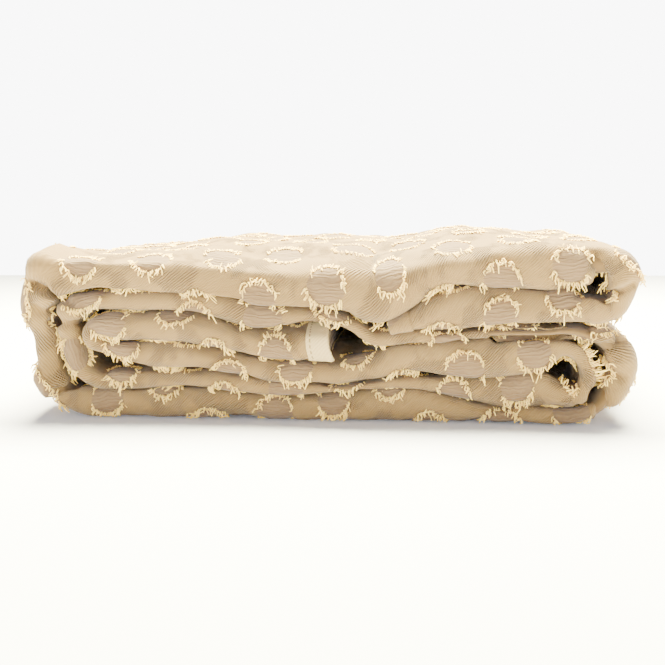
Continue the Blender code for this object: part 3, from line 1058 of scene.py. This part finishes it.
def dot_ripple(graph, place):
    """Height of the loose threads inside a dot, which run along the strip."""
    parts = graph.put("ShaderNodeSeparateXYZ", {0: place}).outputs
    stretched = graph.vector("MULTIPLY", place, RIPPLE_STRETCH)
    bend = graph.math("MULTIPLY", graph.noise(stretched, 1.0), RIPPLE_BEND)
    turns = graph.math("MULTIPLY", parts["Y"], math.tau * DOT_PITCH / RIPPLE_PITCH)
    return graph.wave(graph.math("ADD", bend, turns))


def cloth_material():
    """Beige twill with painted shade in its furrows, and smooth, greyer dots, darkened further by
    painted shade and given painted light on their ripples' crests.
    """
    graph = Graph("cotton_twill", CLOTH_FINISH)
    place = cloth_place(graph)
    dots = dot_share(graph, place)
    wales = twill(graph, place)
    ripple = graph.math("MULTIPLY", dot_ripple(graph, place), RIPPLE_SHARE)
    body = graph.put("ShaderNodeTexCoord", {}).outputs["Object"]
    ground = graph.mix(graph.noise(body, TONE_SCALE), GROUND_DARK, GROUND_LIGHT)
    # Painted shade: the colour darkens in the twill's furrows, more so in the patches.
    furrow = graph.math("SUBTRACT", 1.0, wales)
    patches = graph.ramp(graph.noise(place, PATCH_SCALE), *PATCH_EDGE)
    strength = graph.math("MULTIPLY_ADD", patches, PATCH_PAINTED_SHADE, PLAIN_PAINTED_SHADE)
    ground = graph.mix(graph.math("MULTIPLY", furrow, strength), ground, FURROW_PAINTED_SHADE_AND_STITCH)
    # Painted light and shade in the dots: darker than the ground, partly for their duller sheen, and
    # lighter on the ripples' crests.
    colour = graph.mix(dots, ground, graph.mix(ripple, DOT_TONE_AND_PAINTED_SHADE, DOT_RIPPLE_PAINTED_LIGHT))
    rib = graph.math("MULTIPLY_ADD", patches, PATCH_RIB, PLAIN_RIB)
    height = graph.mix(dots, graph.math("MULTIPLY", wales, rib), ripple)
    return graph.finish(colour, height, CLOTH_BUMP)


def turned_material():
    """The cloth's paler other face, which shows on the turned hem, with painted light on its wales'
    crests.
    """
    graph = Graph("cotton_turned", TURNED_FINISH)
    place = cloth_place(graph)
    wales = twill(graph, place)
    # Painted light: the wales' crests are lighter in the colour.
    colour = graph.mix(graph.math("MULTIPLY", wales, TURNED_PAINTED_LIGHT_SHARE), TURNED, TURNED_PAINTED_LIGHT)
    parts = graph.put("ShaderNodeSeparateXYZ", {0: place}).outputs
    off = graph.math("ABSOLUTE", graph.math("SUBTRACT", parts["X"], STITCH_BACK / DOT_PITCH))
    row = graph.math("LESS_THAN", off, STITCH_WIDTH / DOT_PITCH)
    beat = graph.math("FRACT", graph.math("MULTIPLY", parts["Y"], DOT_PITCH / STITCH_STEP))
    stitch = graph.math("MULTIPLY", row, graph.math("LESS_THAN", beat, STITCH_SHARE))
    colour = graph.mix(graph.math("MULTIPLY", stitch, STITCH_SHADE), colour, FURROW_PAINTED_SHADE_AND_STITCH)
    return graph.finish(colour, graph.math("SUBTRACT", wales, stitch), TURNED_BUMP)


def yarn_material():
    """Cream cut yarn."""
    graph = Graph("cut_yarn", YARN_FINISH)
    body = graph.put("ShaderNodeTexCoord", {}).outputs["Object"]
    colour = graph.mix(graph.noise(body, YARN_TONE_SCALE), YARN_DARK, YARN_LIGHT)
    return graph.finish(colour, graph.noise(body, YARN_GRAIN_SCALE), YARN_BUMP)


def floor_material():
    """Plain pale floor."""
    material = bpy.data.materials.new("floor")
    material.use_nodes = True
    shader = material.node_tree.nodes["Principled BSDF"]
    shader.inputs["Base Color"].default_value = FLOOR_COLOUR
    shader.inputs["Roughness"].default_value = 1.0
    return material


def make_floor():
    """The floor, a little below the lowest point."""
    half = FLOOR_HALF
    corners = np.array([(-half, -half, 0), (half, -half, 0), (half, half, 0), (-half, half, 0)])
    floor = new_object("floor", corners / MM - [0.0, 0.0, FLOOR_DROP], [(0, 1, 2, 3)])
    floor.data.materials.append(floor_material())


def make_light(name, place, target, size, power, colour):
    """An area light that faces its target."""
    data = bpy.data.lights.new(name, "AREA")
    data.shape = "RECTANGLE"
    data.size, data.size_y = size
    data.energy = power
    data.color = colour
    light = bpy.data.objects.new(name, data)
    towards = Vector(target) - Vector(place)
    light.matrix_world = (Matrix.Translation(place)
                          @ towards.to_track_quat("-Z", "Y").to_matrix().to_4x4())
    bpy.context.scene.collection.objects.link(light)


def make_world():
    """A white studio: bright near the horizon as a backdrop is, softer above."""
    world = bpy.data.worlds.new("studio")
    world.use_nodes = True
    tree = world.node_tree
    background = tree.nodes["Background"]
    background.inputs["Color"].default_value = WORLD_COLOUR
    direction = put(tree, "ShaderNodeTexCoord", {}).outputs["Generated"]
    rise = put(tree, "ShaderNodeSeparateXYZ", {0: direction}).outputs["Z"]
    inputs = {"Value": rise, "From Min": HORIZON_TOP, "From Max": SKY_START,
              "To Min": HORIZON_STRENGTH, "To Max": SKY_STRENGTH}
    fade = put(tree, "ShaderNodeMapRange", inputs, interpolation_type="SMOOTHSTEP")
    tree.links.new(fade.outputs["Result"], background.inputs["Strength"])
    bpy.context.scene.world = world


def make_camera():
    """The photo's view: a turn to the right, a little from above, with a small roll."""
    turn, lift = math.radians(CAMERA_TURN), math.radians(CAMERA_LIFT)
    back = Vector((math.sin(turn) * math.cos(lift), -math.cos(turn) * math.cos(lift),
                   math.sin(lift)))
    data = bpy.data.cameras.new("camera")
    data.lens = CAMERA_LENS
    data.sensor_width = SENSOR
    camera = bpy.data.objects.new("camera", data)
    aim = Vector(CAMERA_AIM)
    facing = (-back).to_track_quat("-Z", "Y").to_matrix().to_4x4()
    roll = Matrix.Rotation(math.radians(CAMERA_ROLL), 4, "Z")
    camera.matrix_world = Matrix.Translation(aim + back * CAMERA_DISTANCE) @ facing @ roll
    bpy.context.scene.collection.objects.link(camera)
    bpy.context.scene.camera = camera


def make_scene():
    """The camera, lights, world, floor and the cloth's pieces."""
    make_camera()
    for light in LIGHTS:
        make_light(*light)
    make_world()
    make_floor()
    grids = cloth_grids()
    sheet = build_cloth(grids, cloth_material(), turned_material())
    fringes = build_fringes(grids, yarn_material())
    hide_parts("bedspread")
    for piece in [sheet] + fringes:
        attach(piece, "root")


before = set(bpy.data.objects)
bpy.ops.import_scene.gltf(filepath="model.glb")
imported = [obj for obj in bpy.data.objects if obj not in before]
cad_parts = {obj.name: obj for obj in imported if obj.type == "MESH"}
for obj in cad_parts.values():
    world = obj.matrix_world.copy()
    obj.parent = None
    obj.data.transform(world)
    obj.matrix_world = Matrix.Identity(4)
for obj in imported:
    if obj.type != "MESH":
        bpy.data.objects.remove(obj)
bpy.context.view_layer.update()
make_scene()
